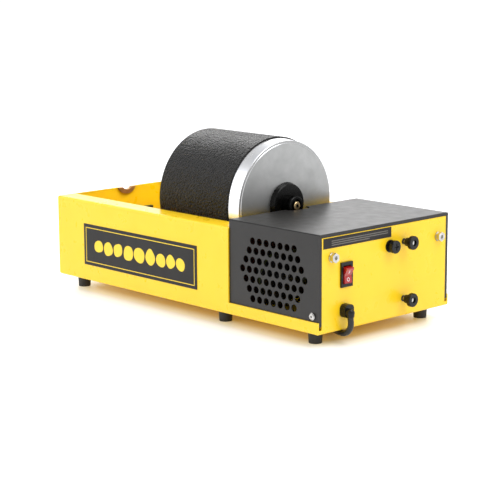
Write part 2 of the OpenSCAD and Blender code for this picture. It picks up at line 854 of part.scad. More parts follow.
module switch_rocker() {
    color("firebrick") translate([rocker_x, switch_y, switch_z]) rotate([0, rocker_tilt, 0])
        union() {
            along_y(9.8) rocker_outline();
            rotate([90, 0, 0]) cylinder(h = 10, r = 2.4, center = true);
        }
}

module fuse_holder() {
    color([0.12, 0.12, 0.12]) difference() {
        union() {
            rod(fuse_back, x_right + 1.2, fuse_y, fuse_z, 5.45);
            rod(x_right - sheet - 5, x_right - sheet - fit, fuse_y, fuse_z, 8.5, n = 6);
            rod(x_right + eps, x_right + 1.2, fuse_y, fuse_z, 6.2);
        }
        rod(fuse_back + 1.5, x_right + 5, fuse_y, fuse_z, 4.6);
    }
}

module fuse_cap() {
    color([0.12, 0.12, 0.12]) difference() {
        union() {
            rod(x_right - 10, x_right + 5.2, fuse_y, fuse_z, 4.3);
            rod(x_right + 5.2 - eps, x_right + 8.4, fuse_y, fuse_z, 6.4);
            rod(x_right + 8.4 - eps, x_right + 9, fuse_y, fuse_z, 6.4, 5.8);
        }
        block([x_right + 7.6, fuse_y - 3.4, fuse_z - 0.6], [x_right + 10, fuse_y + 3.4, fuse_z + 0.6]);
        block([x_right + 7.6, fuse_y - 0.6, fuse_z - 3.4], [x_right + 10, fuse_y + 0.6, fuse_z + 3.4]);
        rod(x_right - 11, x_right - 6, fuse_y, fuse_z, 2.6 + fit);
    }
}

module fuse() {
    color("lightblue") {
        rod(x_right - 26, x_right - 20.5, fuse_y, fuse_z, 2.6);
        rod(x_right - 20.5 + eps, x_right - 11.5, fuse_y, fuse_z, 2.4);
        rod(x_right - 11.5 + eps, x_right - 6 - fit, fuse_y, fuse_z, 2.6);
    }
}

// Wires inside the motor box: cord to fuse, fuse to switch, switch to coil, coil to cord
module wiring() {
    tab = x_right - 28.5;
    coil_low_z = motor_z - 20.8;
    color("white") {
        sweep([[x_right - 14, relief_y + 1, relief_z + 2], [x_right - 22, relief_y + 8, relief_z + 11],
               [x_right - 28, -34, relief_z + 30], [x_right - 32, -14, fuse_z - 8],
               [x_right - 33.5, -4, fuse_z - 1.5], [x_right - 31.5, fuse_y - 4, fuse_z],
               [fuse_back + 0.1, fuse_y, fuse_z]], 1.1);
        sweep([[tab, switch_y, switch_z + 6.5], [tab - 7.5, switch_y + 4, switch_z + 10],
               [tab - 13.5, switch_y + 18, switch_z + 20], [tab - 11.5, switch_y + 34, switch_z + 22],
               [tab + 2.5, fuse_y - 12, fuse_z + 3], [x_right - 20, fuse_y - 6.8, fuse_z + 1]], 1.1);
        sweep([[tab, switch_y, switch_z], [tab - 8.5, switch_y + 6, switch_z - 4],
               [tab - 5.5, -30, z_floor + 20], [tab + 2.5, -8, z_floor + 6.5],
               [tab + 5.5, 20, z_floor + 4.5], [tab + 5.5, 44, z_floor + 5.5],
               [tab + 3, 56, z_floor + 12.5], [core_x1 + 4, motor_y + 34, coil_low_z]], 1.1);
        sweep([[x_right - 14, relief_y - 1, relief_z - 2], [x_right - 24, relief_y + 7, z_floor + 8],
               [x_right - 20, -30, z_floor + 4.5], [x_right - 18, 0, z_floor + 3.5],
               [x_right - 18, 34, z_floor + 3.5], [x_right - 24, 66, z_floor + 9.5],
               [core_x1 + 5, motor_y + 40, coil_low_z]], 1.1);
    }
}

// Strain relief: a barrel through the panel, a block with rounded corners outside it, and a
// tapered spout that turns the cord down
module strain_relief() {
    block_w = 12.5;
    block_h = 13;
    block_t = 7;
    turn_r = 3.9;
    turn = lead_points[0] + [0, 0, turn_r + fit];
    color([0.1, 0.1, 0.1]) difference() {
        union() {
            rod(x_right - 12, x_right + 1, relief_y, relief_z, 5.5);
            translate([0, relief_y, relief_z - block_h / 2]) along_x(x_right + eps, x_right + block_t)
                round_rect(block_w, block_h, 4.6);
            rod(x_right + block_t - 1, turn[0], turn[1], turn[2], turn_r);
            translate(turn) sphere(turn_r);
            translate(lead_points[0] + [0, 0, fit]) cylinder(h = turn_r, r1 = 3.5, r2 = turn_r);
        }
        rod(x_right - 13, x_right - 6, relief_y, relief_z, 4);
    }
}

// ---- Mains cord ----

module cord_lead() {
    color([0.1, 0.1, 0.1]) sweep(lead_points, cord_r);
}

module cord_tail() {
    color([0.1, 0.1, 0.1]) sweep(tail_points, cord_r);
}

module cord_coil() {
    color([0.1, 0.1, 0.1]) translate([coil_x, coil_y, 0]) rotate_extrude($fn = fine)
        translate([coil_inner - cord_r, coil_low - cord_r])
            square([coil_outer - coil_inner + 2 * cord_r, coil_high - coil_low + 2 * cord_r]);
}

module cord_tie() {
    inside = [coil_inner - cord_r, coil_outer + cord_r];
    color("dimgray") translate([coil_x, coil_y, 0]) rotate([0, 0, 40]) difference() {
        block([inside[0] - 1.2, -tie_w / 2, coil_low - cord_r - tie_t],
              [inside[1] + 1.2, tie_w / 2, coil_high + cord_r + 1]);
        block([inside[0] - 0.6, -tie_w, coil_low - cord_r], [inside[1] + 0.6, tie_w, coil_high + cord_r + 0.4]);
    }
}

plug_start = tail_points[4];

// Moulded plug that lies on its flat side, its cord entry towards the coil
module plug() {
    color([0.1, 0.1, 0.1]) translate(plug_start) rotate([0, 0, 180]) union() {
        rod(0, 20, 0, 0, 4, 5.6);
        hull() {
            block([16, -7.5, -7], [18, 7.5, 7]);
            block([26, -12, -10.4], [44, 12, 10.4]);
        }
    }
}

module plug_pins() {
    color("silver") translate(plug_start) rotate([0, 0, 180]) {
        for (s = [-1, 1]) difference() {
            block([44 + fit, s * 6.35 - 0.75, -0.2], [61, s * 6.35 + 0.75, 6]);
            translate([57, 0, 2.9]) rotate([90, 0, 0]) cylinder(h = 30, r = 1.6, center = true);
        }
        rod(44 + fit, 62, 0, -6, 2.4);
        rod(62 - eps, 64.5, 0, -6, 2.4, 1.2);
    }
}

// ---- Nodes ----

base_pan();
bulkhead();
cover();
cover_lugs();
cover_end_screws();
cover_side_screws();
nameplate();
end_label();
notch_liner();
barrel_bumper();
foot(foot_xs[0], -1);  // foot_front_left
foot(foot_xs[1], -1);  // foot_front_middle
foot(foot_xs[2], -1);  // foot_front_right
foot(foot_xs[0], 1);  // foot_back_left
foot(foot_xs[1], 1);  // foot_back_middle
foot(foot_xs[2], 1);  // foot_back_right
foot_screws();
roller_shaft(-1, pulley_x + 16);  // drive_shaft
roller_sleeve(-1);  // drive_sleeve
roller_collars(-1);  // drive_collars
drive_pulley();
roller_shaft(1, x_box + 10);  // idler_shaft
roller_sleeve(1);  // idler_sleeve
roller_collars(1);  // idler_collars
bush(x_left + sheet, -1, -1, sheet, bush_boss);  // drive_bush_left
bush(x_box + cover_gap, -1, 1, bush_l, bush_flange_t);  // drive_bush_right
bush(x_left + sheet, 1, -1, sheet, bush_boss);  // idler_bush_left
bush(x_box + cover_gap, 1, 1, bush_l, bush_flange_t);  // idler_bush_right
barrel_shell();
inner_lid();
lid_gasket();
outer_lid();
lid_stud();
lid_knob();
stator_core();
stator_coil();
motor_bracket(core_x0 - fit, -1);  // motor_bracket_front
motor_bracket(core_x1 + fit, 1);  // motor_bracket_rear
motor_bolts();
motor_isolators();
rotor();
motor_shaft();
fan();
motor_pulley();
drive_belt();
thumb_nut(bolt_high);  // thumb_nut_upper
thumb_nut(bolt_low);  // thumb_nut_lower
switch_housing();
switch_rocker();
fuse_holder();
fuse_cap();
fuse();
wiring();
strain_relief();
cord_lead();
cord_coil();
cord_tail();
cord_tie();
plug();
plug_pins();
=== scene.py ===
"""Looks of the rotary rock tumbler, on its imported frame. Metres, +Z up, +X towards the end panel."""

import math
import random

import bpy
from mathutils import Matrix, Vector


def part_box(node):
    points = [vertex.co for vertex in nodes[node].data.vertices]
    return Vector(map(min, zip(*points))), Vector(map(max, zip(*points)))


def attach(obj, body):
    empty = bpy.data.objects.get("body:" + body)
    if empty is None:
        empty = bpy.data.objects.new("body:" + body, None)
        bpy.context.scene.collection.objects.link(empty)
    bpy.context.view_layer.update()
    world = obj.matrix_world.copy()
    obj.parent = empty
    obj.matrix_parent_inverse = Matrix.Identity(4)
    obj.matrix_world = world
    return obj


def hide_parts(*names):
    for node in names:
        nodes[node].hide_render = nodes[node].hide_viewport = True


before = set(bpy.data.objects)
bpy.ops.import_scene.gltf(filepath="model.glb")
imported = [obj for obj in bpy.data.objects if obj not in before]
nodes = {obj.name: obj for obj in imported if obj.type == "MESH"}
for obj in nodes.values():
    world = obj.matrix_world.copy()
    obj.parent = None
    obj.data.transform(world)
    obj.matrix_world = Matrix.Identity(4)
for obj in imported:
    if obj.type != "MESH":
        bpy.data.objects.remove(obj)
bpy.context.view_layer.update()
scene = bpy.context.scene
scene.view_settings.view_transform = "Standard"
scene.view_settings.look = "None"


def link(name, data):
    obj = bpy.data.objects.new(name, data)
    scene.collection.objects.link(obj)
    return obj


# ---- Camera ----

camera = link("camera", bpy.data.cameras.new("camera"))
camera.data.lens = 117.5
camera.data.sensor_width = 36
camera.data.clip_start = 0.05
camera.data.clip_end = 20
camera.location = (1.2348, -1.1524, 0.3837)
camera.rotation_euler = [math.radians(a) for a in (79.006, 0.287, 46.885)]
scene.camera = camera

# ---- Materials ----


class Shader:
    """One node material. Textures are laid out in the row frame, in metres."""

    def __init__(self, name, color, rough=0.5, metal=0.0, **sockets):
        self.mat = bpy.data.materials.new(name)
        self.mat.use_nodes = True
        self.tree = self.mat.node_tree
        self.bsdf = self.tree.nodes["Principled BSDF"]
        self.set(self.bsdf, "Base Color", (*color, 1))
        self.set(self.bsdf, "Roughness", rough)
        self.set(self.bsdf, "Metallic", metal)
        for key, value in sockets.items():
            self.set(self.bsdf, key.replace("_", " "), value)
        self.place = self.node("ShaderNodeTexCoord")
        self.height = None

    def node(self, kind, **props):
        made = self.tree.nodes.new(kind)
        for key, value in props.items():
            setattr(made, key, value)
        return made

    def set(self, node, key, value):
        socket = node.inputs[key]
        if isinstance(value, bpy.types.NodeSocket):
            self.tree.links.new(value, socket)
        else:
            socket.default_value = value

    def where(self, stretch=(1, 1, 1)):
        if stretch == (1, 1, 1):
            return self.place.outputs["Object"]
        scale = self.node("ShaderNodeMapping")
        self.set(scale, "Vector", self.place.outputs["Object"])
        self.set(scale, "Scale", stretch)
        return scale.outputs[0]

    def facing(self, axis):
        """How far the surface faces along an axis, from -1 to 1."""
        return self.part(self.place.outputs["Normal"], axis)

    def noise(self, size, detail=2.0, rough=0.5, twist=0.0, at=None):
        made = self.node("ShaderNodeTexNoise")
        self.set(made, "Vector", at or self.where())
        self.set(made, "Scale", 1 / size)
        self.set(made, "Detail", detail)
        self.set(made, "Roughness", rough)
        self.set(made, "Distortion", twist)
        return made.outputs["Fac"]

    def lines(self, along, per_metre):
        """Fine bands across a measure: a noise in one dimension."""
        made = self.node("ShaderNodeTexNoise", noise_dimensions="1D")
        self.set(made, "W", along)
        self.set(made, "Scale", per_metre)
        self.set(made, "Detail", 3)
        return made.outputs["Fac"]

    def cells(self, size, at):
        made = self.node("ShaderNodeTexVoronoi")
        self.set(made, "Vector", at)
        self.set(made, "Scale", 1 / size)
        return made.outputs["Distance"]

    def shifted(self, size, amount):
        """The place, pushed about by a noise, so that a pattern isn't regular."""
        push = self.node("ShaderNodeTexNoise")
        self.set(push, "Vector", self.where())
        self.set(push, "Scale", 1 / size)
        scaled = self.node("ShaderNodeVectorMath", operation="SCALE")
        self.set(scaled, 0, push.outputs["Color"])
        self.set(scaled, "Scale", amount)
        return self.vector("ADD", self.where(), scaled.outputs[0])

    def vector(self, kind, a, b=(0, 0, 0)):
        made = self.node("ShaderNodeVectorMath", operation=kind)
        self.set(made, 0, a)
        self.set(made, 1, b)
        return made.outputs[0]

    def map(self, value, a, b, to_a, to_b):
        made = self.node("ShaderNodeMapRange", clamp=True)
        for i, v in enumerate((value, a, b, to_a, to_b)):
            self.set(made, i, v)
        return made.outputs[0]

    def mottle(self, size, detail, to_a=0, to_b=1):
        """A noise drawn out to soft patches between two values."""
        return self.map(self.noise(size, detail), 0.3, 0.7, to_a, to_b)

    def math(self, kind, a, b=0.0):
        made = self.node("ShaderNodeMath", operation=kind)
        self.set(made, 0, a)
        self.set(made, 1, b)
        return made.outputs[0]

    def mix(self, share, a, b):
        made = self.node("ShaderNodeMix", data_type="RGBA")
        self.set(made, 0, share)
        for i, c in ((6, a), (7, b)):
            self.set(made, i, c if isinstance(c, bpy.types.NodeSocket) else (*c, 1))
        return made.outputs[2]

    def part(self, vector, axis):
        made = self.node("ShaderNodeSeparateXYZ")
        self.set(made, 0, vector)
        return made.outputs[axis]

    def color(self, share, a, b):
        self.set(self.bsdf, "Base Color", self.mix(share, a, b))

    def rough(self, value):
        self.set(self.bsdf, "Roughness", value)

    def bump(self, height, depth, strength=1.0):
        made = self.node("ShaderNodeBump")
        self.set(made, "Strength", strength)
        self.set(made, "Distance", depth)
        self.set(made, "Height", height)
        if self.height:
            self.set(made, "Normal", self.height)
        self.height = made.outputs[0]
        self.set(self.bsdf, "Normal", self.height)


# The parts of a vector
X, Y, Z = 0, 1, 2

# Powder coats
YELLOW, YELLOW_DEEP = (1.0, 0.655, 0.014), (0.985, 0.63, 0.012)
YELLOW_PLAIN, MOTOR_SIDE_SHADE = (1.0, 0.69, 0.015), (0.05, 0.013, 0.008)
CHARCOAL, CHARCOAL_DEEP = (0.018, 0.0168, 0.0158), (0.015, 0.0138, 0.0128)
CHARCOAL_FOLD_SHADE = (0.003, 0.0028, 0.0026)
MOTTLE_SIZE, SHEEN_SIZE = 0.03, 0.012


def powder_coat(name, color, peel, gloss=0.5):
    """A slow wave and an orange peel of the given size. Colour and sheen are set for each coat."""
    s = Shader(name, color, IOR=1.5, Specular_IOR_Level=gloss)
    s.bump(s.noise(0.05, 1), 0.0002, 0.5)
    s.bump(s.noise(peel, 2), 0.00003, 0.7)
    return s


yellow = powder_coat("yellow_coat", YELLOW, 0.0011)
yellow.color(yellow.mottle(MOTTLE_SIZE, 4), YELLOW, YELLOW_DEEP)
yellow.rough(yellow.mottle(SHEEN_SIZE, 5, 0.25, 0.37))

# The bulkhead has its coat on the tray side; its motor side is painted dark reddish brown as painted shade,
# for the yellow coat deep in shade inside the motor box
bulkhead_shade = powder_coat("bulkhead_coat", YELLOW, 0.0011)
bulkhead_shade.color(bulkhead_shade.map(bulkhead_shade.facing(X), 0.4, 0.6, 0, 1), YELLOW_PLAIN, MOTOR_SIDE_SHADE)
bulkhead_shade.rough(bulkhead_shade.mottle(SHEEN_SIZE, 5, 0.25, 0.37))

# The cover's coat is duller along the folds, and painted near black there as painted shade along each fold
charcoal = powder_coat("charcoal_coat", CHARCOAL, 0.0007, gloss=0.4)
sides = [charcoal.math("ABSOLUTE", charcoal.facing(axis)) for axis in (X, Y, Z)]
flatness = charcoal.math("MAXIMUM", charcoal.math("MAXIMUM", sides[0], sides[1]), sides[2])
folded = charcoal.map(flatness, 0.82, 0.97, 1, 0)
cover_coat = charcoal.mix(charcoal.mottle(MOTTLE_SIZE, 4), CHARCOAL, CHARCOAL_DEEP)
charcoal.color(folded, cover_coat, CHARCOAL_FOLD_SHADE)
fold_rough = charcoal.map(folded, 0, 1, 0, 0.7)
charcoal.rough(charcoal.math("MAXIMUM", charcoal.mottle(SHEEN_SIZE, 5, 0.34, 0.41), fold_rough))

# Name plate, label and what is printed on them
PLATE, PLATE_DEEP = (0.02, 0.0185, 0.0175), (0.015, 0.0135, 0.0125)
plate = Shader("plate_face", PLATE, 0.4, Specular_IOR_Level=0.25)
plate.color(plate.mottle(0.02, 4), PLATE, PLATE_DEEP)
plate.bump(plate.noise(0.0006), 0.00002, 0.5)


def ink(name, color, deep, rough, size):
    s = Shader(name, color, rough)
    s.color(s.mottle(size, 3), color, deep)
    return s


print_yellow = ink("print_yellow", (1.0, 0.70, 0.03), (0.95, 0.65, 0.03), 0.42, 0.004)
print_grey = ink("print_grey", (0.17, 0.16, 0.14), (0.12, 0.11, 0.10), 0.5, 0.003)
print_white = ink("print_white", (0.86, 0.86, 0.84), (0.74, 0.73, 0.72), 0.4, 0.002)

# Metals
BRASS, BRASS_DEEP = (0.72, 0.55, 0.30), (0.50, 0.36, 0.18)
STUD_END, SOCKET_SHADE = (0.70, 0.52, 0.28), (0.03, 0.022, 0.016)


def metal(name, color, deep, rough, scratch=0.00001, grain=(1, 1, 1)):
    """Fine marks as deep as scratch, stretched by grain; no marks when scratch is 0."""
    s = Shader(name, color, rough, 1.0)
    s.color(s.mottle(0.006, 4), color, deep)
    s.rough(s.map(s.noise(0.003, 4), 0.25, 0.75, rough - 0.06, rough + 0.1))
    if scratch:
        s.bump(s.noise(0.0004, 2, at=s.where(grain)), scratch)
    return s


zinc = metal("zinc_steel", (0.66, 0.65, 0.62), (0.42, 0.41, 0.40), 0.14)
steel = metal("bright_steel", (0.66, 0.65, 0.63), (0.52, 0.52, 0.51), 0.24, grain=(8, 1, 1))
bronze = metal("bronze", (0.62, 0.36, 0.14), (0.42, 0.24, 0.10), 0.42, scratch=0.00002)
liner = metal("liner_bronze", (0.80, 0.50, 0.25), (0.66, 0.38, 0.18), 0.38, scratch=0.00002)
brass = metal("plated_brass", BRASS, BRASS_DEEP, 0.3)
core = metal("laminations", (0.30, 0.31, 0.33), (0.16, 0.16, 0.17), 0.45, scratch=0)
core.bump(core.noise(0.0005, 1, at=core.where((1, 0.001, 0.001))), 0.0001)

# The socket in the stud's end is painted dark, as painted shade in the hollow
SOCKET_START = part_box("lid_stud")[1].x - 0.0005
stud_brass = metal("stud_brass", BRASS, BRASS_DEEP, 0.3)
along_stud = stud_brass.part(stud_brass.where(), X)
in_socket = stud_brass.map(along_stud, SOCKET_START - 0.0002, SOCKET_START, 1, 0)
stud_brass.color(in_socket, STUD_END, SOCKET_SHADE)

# Turned aluminium: fine rings on the face, finer lines round the band. The face is painted mid grey, far
# darker than the band, as painted shade
AXIS_Z = sum(corner.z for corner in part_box("outer_lid")) / 2
FACE_SHADE, FACE_SHADE_DEEP = (0.48, 0.485, 0.48), (0.40, 0.405, 0.40)
BAND, BAND_DEEP = (0.98, 0.98, 0.98), (0.86, 0.875, 0.92)
lid = Shader("turned_aluminium", BAND, metal=1.0)
from_axis = lid.node("ShaderNodeVectorMath", operation="LENGTH")
lid.set(from_axis, 0, lid.vector("SUBTRACT", lid.where((0, 1, 1)), (0, 0, AXIS_Z)))
on_face = lid.map(lid.math("ABSOLUTE", lid.facing(X)), 0.6, 0.8, 0, 1)
rings = lid.math("MULTIPLY", lid.lines(from_axis.outputs["Value"], 5200), on_face)
hoops = lid.math("MULTIPLY", lid.lines(lid.part(lid.where(), X), 4000), lid.math("SUBTRACT", 1.0, on_face))
cloud = lid.noise(0.022, 5, 0.6, 0.4)
face_shade_color = lid.mix(lid.map(cloud, 0.3, 0.7, 0, 1), FACE_SHADE, FACE_SHADE_DEEP)
band_color = lid.mix(lid.map(cloud, 0.35, 0.65, 0, 1), BAND, BAND_DEEP)
lid.color(on_face, band_color, face_shade_color)
lid.rough(lid.math("ADD", lid.map(on_face, 0, 1, 0.27, 0.36), lid.map(cloud, 0.3, 0.7, -0.02, 0.04)))
lid.bump(lid.math("ADD", rings, hoops), 0.000012, 0.6)

# Moulded rubber with a pebble grain; its hollows are painted near black as painted shade
PEBBLE, PEBBLE_PIT_SHADE = (0.012, 0.0108, 0.0094), (0.0012, 0.001, 0.0008)
pebble = Shader("barrel_rubber", PEBBLE, Specular_IOR_Level=0.35)
pebble_cells = pebble.cells(0.0023, pebble.shifted(0.003, 0.0014))
pebble.color(pebble.map(pebble_cells, 0.1, 0.55, 0, 1), PEBBLE, PEBBLE_PIT_SHADE)
pebble.rough(pebble.mottle(0.01, 4, 0.27, 0.36))
pebble.bump(pebble.math("SUBTRACT", pebble.noise(0.0024, 3, 0.7), pebble_cells), 0.0033)


def rubber(name, color, rough, dust=0.0):
    s = Shader(name, color, rough)
    s.color(s.map(s.noise(0.006, 5, 0.6), 0.35, 0.7, 0, 1), color, [c * 1.5 + dust for c in color])
    s.rough(s.mottle(0.004, 4, rough - 0.06, rough + 0.08))
    s.bump(s.noise(0.0005, 2), 0.00003, 0.8)
    return s


black_rubber = rubber("black_rubber", (0.009, 0.0088, 0.0085), 0.55, dust=0.002)
roller_rubber = rubber("roller_rubber", (0.022, 0.022, 0.023), 0.5)
belt_rubber = rubber("belt_rubber", (0.09, 0.11, 0.03), 0.45)


def moulded(name, color, rough, size=0.0008, gloss=0.5):
    s = Shader(name, color, rough, IOR=1.5, Specular_IOR_Level=gloss)
    s.color(s.mottle(0.008, 4), color, [c * 0.8 for c in color])
    s.rough(s.mottle(0.003, 4, rough - 0.05, rough + 0.08))
    s.bump(s.noise(size, 2), 0.00002, 0.7)
    return s


knob_plastic = moulded("knob_plastic", (0.006, 0.0058, 0.0058), 0.3, gloss=0.32)
hub_plastic = moulded("hub_plastic", (0.002, 0.0019, 0.0018), 0.25, gloss=0.22)
pulley_plastic = moulded("pulley_plastic", (0.03, 0.03, 0.032), 0.4)
fan_plastic = moulded("fan_plastic", (0.62, 0.61, 0.57), 0.42)
wire_plastic = moulded("wire", (0.62, 0.62, 0.6), 0.4)
cord_plastic = moulded("cord_plastic", (0.007, 0.007, 0.007), 0.3, size=0.0006)
tie_plastic = moulded("tie_plastic", (0.03, 0.03, 0.03), 0.4)
winding = moulded("coil_tape", (0.30, 0.10, 0.03), 0.3)
winding.bump(winding.noise(0.0008, 1, at=winding.where((0.02, 0.02, 1))), 0.00025)

RED, RED_DEEP = (0.50, 0.009, 0.007), (0.38, 0.006, 0.005)
red = Shader("red_plastic", RED, 0.2, IOR=1.5, Transmission_Weight=0.15, Coat_Weight=0.5, Coat_Roughness=0.1)
red.color(red.mottle(0.003, 3), RED, RED_DEEP)
red.bump(red.noise(0.0006, 2), 0.00001, 0.6)

GLASS, GLASS_DEEP = (0.9, 0.95, 0.95), (0.8, 0.85, 0.85)
glass = Shader("fuse_glass", GLASS, 0.08, Transmission_Weight=0.9, IOR=1.45)
glass.color(glass.mottle(0.002, 3), GLASS, GLASS_DEEP)
glass.bump(glass.noise(0.001, 2), 0.00001, 0.5)

FEET = [f"foot_{side}_{place}" for side in ("front", "back") for place in ("left", "middle", "right")]
WEARS = {
    yellow: ["base_pan"],
    bulkhead_shade: ["bulkhead"],
    charcoal: ["cover"],
    zinc: ["cover_lugs", "cover_end_screws", "cover_side_screws", "foot_screws", "motor_bracket_front",
           "motor_bracket_rear", "motor_bolts"],
    plate: ["nameplate", "end_label"],
    liner: ["notch_liner"],
    bronze: ["drive_bush_left", "drive_bush_right", "idler_bush_left", "idler_bush_right"],
    black_rubber: ["barrel_bumper", "lid_gasket", "motor_isolators", *FEET],
    roller_rubber: ["drive_sleeve", "idler_sleeve"],
    pebble: ["barrel_shell"],
    belt_rubber: ["drive_belt"],
    steel: ["drive_shaft", "drive_collars", "idler_shaft", "idler_collars", "inner_lid", "motor_shaft"],
    lid: ["outer_lid"],
    hub_plastic: ["lid_knob"],
    knob_plastic: ["thumb_nut_upper", "thumb_nut_lower", "fuse_holder", "fuse_cap", "strain_relief",
                   "switch_housing"],
    pulley_plastic: ["drive_pulley", "motor_pulley"],
    core: ["stator_core", "rotor"],
    winding: ["stator_coil"],
    fan_plastic: ["fan"],
    red: ["switch_rocker"],
    glass: ["fuse"],
    wire_plastic: ["wiring"],
    cord_plastic: ["cord_lead", "cord_coil", "cord_tail", "plug"],
    tie_plastic: ["cord_tie"],
    brass: ["plug_pins"],
    stud_brass: ["lid_stud"],
}
for shader, names in WEARS.items():
    for name in names:
        mesh = nodes[name].data
        mesh.materials.clear()
        mesh.materials.append(shader.mat)

# Width of the rounded edges on the CAD pieces that have sharp ones
SOFT_EDGES = {
    "base_pan": 0.0004, "bulkhead": 0.0004, "cover": 0.0004, "nameplate": 0.00012,
    "switch_housing": 0.0006, "switch_rocker": 0.0005, "barrel_bumper": 0.0006, "notch_liner": 0.0004,
    "stator_coil": 0.0012, "stator_core": 0.0003, "plug_pins": 0.0003, "fan": 0.0003,
    "outer_lid": 0.0009, "lid_stud": 0.0002, "lid_knob": 0.0004, "fuse_cap": 0.0003,
    "thumb_nut_upper": 0.0003, "thumb_nut_lower": 0.0003, "strain_relief": 0.0012,
    "cover_end_screws": 0.0002, "cover_side_screws": 0.0002, **dict.fromkeys(FEET, 0.0008),
}
for name, width in SOFT_EDGES.items():
    bevel = nodes[name].modifiers.new("soft_edges", "BEVEL")
    bevel.width = width
    bevel.segments = 3
    bevel.limit_method = "ANGLE"
    bevel.angle_limit = math.radians(38)
    bevel.harden_normals = True
    bevel.use_clamp_overlap = True

# ---- Shared builders ----


def mesh_piece(name, shader, body, points, faces, smooth=True):
    mesh = bpy.data.meshes.new(name)
    mesh.from_pydata([tuple(p) for p in points], [], faces)
    mesh.materials.append(shader.mat)
    mesh.polygons.foreach_set("use_smooth", [smooth] * len(mesh.polygons))
    mesh.update()
    obj = link(name, mesh)
    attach(obj, body)
    return obj


def tube_mesh(sections):
    """Points and faces of a skin over sections of equal count, with both ends closed."""
    n = len(sections[0])
    points = [p for section in sections for p in section]
    faces = [(i * n + k, i * n + (k + 1) % n, (i + 1) * n + (k + 1) % n, (i + 1) * n + k)
             for i in range(len(sections) - 1) for k in range(n)]
    faces.append(tuple(reversed(range(n))))
    faces.append(tuple(range((len(sections) - 1) * n, len(sections) * n)))
    return points, faces


def squarish(angle, half_u, half_v, power):
    """A point on an oval, round at power 2 and nearer to a rectangle as the power grows."""
    x, y = math.cos(angle), math.sin(angle)
    return (math.copysign(abs(x) ** (2 / power), x) * half_u,
            math.copysign(abs(y) ** (2 / power), y) * half_v)


def turn_of(k, count):
    return 2 * math.pi * k / count


# ---- Mains cord: same route as its solids, in millimetres ----

MM = 0.001
CORD_R = 0.003
BEND_R, BEND_X, BEND_Z = 12.4, 192.1, 22.1
BEND = [(BEND_X + BEND_R * math.cos(math.radians(a)), -59.7 + a / 90,
         BEND_Z - BEND_R * math.sin(math.radians(a))) for a in range(0, 91, 15)]
LEAD = [
    (204.3, -60, 27.6), (204.3, -60, 25.2), *BEND,
    (187.3, -57.7, 9.6), (181, -55.4, 9.6), (174.5, -51.6, 9.4), (168, -46.6, 8.7), (161, -40.2, 7.5),
    (153.5, -33, 6), (146, -25.6, 4.7), (138.5, -17.8, 3.8), (131, -9, 3.4), (124, 1, 3.4),
    (117.2, 12.5, 3.4), (110.7, 24.5, 3.4), (104, 37.5, 3.4), (97, 51, 3.4), (90, 66, 3.4),
    (81, 80, 3.4), (68, 92, 3.4), (52, 100, 3.6), (36, 104, 3.8), (20, 105, 3.8)]
TAIL = [(-12, 105.2, 9.5), (-27, 107, 8.4), (-39, 109, 8.2), (-50, 111, 9.2), (-60, 112, 10.5)]
COIL_X, COIL_Y = 5, 150
COIL_OUTER, COIL_PITCH, COIL_TURNS = 45, 6.1, 3.5
COIL_LOW, COIL_STEP = 3.8, 6.1
COIL_INNER = COIL_OUTER - COIL_PITCH * COIL_TURNS
LAYER_POINTS, CLIMB_POINTS = 90, 8


def coil_points():
    """In on the lower layer from the outside, then back out on the layer above."""
    out = []
    for layer in (0, 1):
        for i in range(LAYER_POINTS + 1):
            done = i / LAYER_POINTS
            inward = done if layer == 0 else 1 - done
            radius = COIL_OUTER - COIL_PITCH * COIL_TURNS * inward
            a = math.radians(-90 - 360 * COIL_TURNS * (done + layer))
            rise = COIL_STEP * layer
            if layer == 1 and i < CLIMB_POINTS:
                rise = COIL_STEP * (0.5 - 0.5 * math.cos(math.pi * i / CLIMB_POINTS))
            out.append((COIL_X + radius * math.cos(a), COIL_Y + radius * math.sin(a), COIL_LOW + rise))
    return out


route = LEAD[:-1] + coil_points() + TAIL
cord_curve = bpy.data.curves.new("mains_cord", "CURVE")
cord_curve.dimensions = "3D"
spline = cord_curve.splines.new("POLY")
spline.points.add(len(route) - 1)
for point, at in zip(spline.points, route):
    point.co = (*[v * MM for v in at], 1)
cord_curve.bevel_depth = CORD_R
cord_curve.bevel_resolution = 5
cord_curve.use_fill_caps = True
cord_curve.materials.append(cord_plastic.mat)
cord = link("mains_cord", cord_curve)
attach(cord, "machine")
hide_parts("cord_lead", "cord_coil", "cord_tail")

# Moulded plug: ribbed relief, then a body that swells into a flat grip.
# A station is how far along it lies, half its width, half its height and how square it is.
PLUG = Vector(TAIL[-1]) * MM
SLEEVE = (0.0, 3.2, 3.2, 2)
RIBS, FIRST_RIB, RIB_PITCH = 5, 0.6, 3.1
RIB_R, RIB_GROWTH, GROOVE_DEPTH = 3.9, 0.35, 0.8
RIB_END, GROOVE_START, GROOVE_END = 1.7, 2.0, 2.8
GRIP = [
    (16.4, 5.8, 5.8, 2.2), (18.5, 7.4, 6.9, 2.6), (21.5, 9.2, 8.0, 3), (25, 10.8, 9.2, 3.4),
    (29, 11.6, 10.0, 3.8), (33, 11.4, 9.8, 3.8), (37, 11.4, 9.8, 4), (41, 11.8, 10.2, 4.2),
    (43.2, 11.8, 10.2, 4.2), (43.9, 11.2, 9.6, 4.2)]
PLUG_SIDES = 40


def rib(i):
    start, r = FIRST_RIB + i * RIB_PITCH, RIB_R + i * RIB_GROWTH
    steps = [(0, r), (RIB_END, r), (GROOVE_START, r - GROOVE_DEPTH), (GROOVE_END, r - GROOVE_DEPTH)]
    return [(start + along, radius, radius, 2) for along, radius in steps]


def plug_section(along, half_y, half_z, power):
    corners = [squarish(turn_of(k, PLUG_SIDES), half_y, half_z, power) for k in range(PLUG_SIDES)]
    return [PLUG + Vector((-along, -y, z)) * MM for y, z in corners]


stations = [SLEEVE, *[station for i in range(RIBS) for station in rib(i)], *GRIP]
points, faces = tube_mesh([plug_section(*station) for station in stations])
plug = mesh_piece("plug_moulding", cord_plastic, "machine", points, faces)
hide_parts("plug")

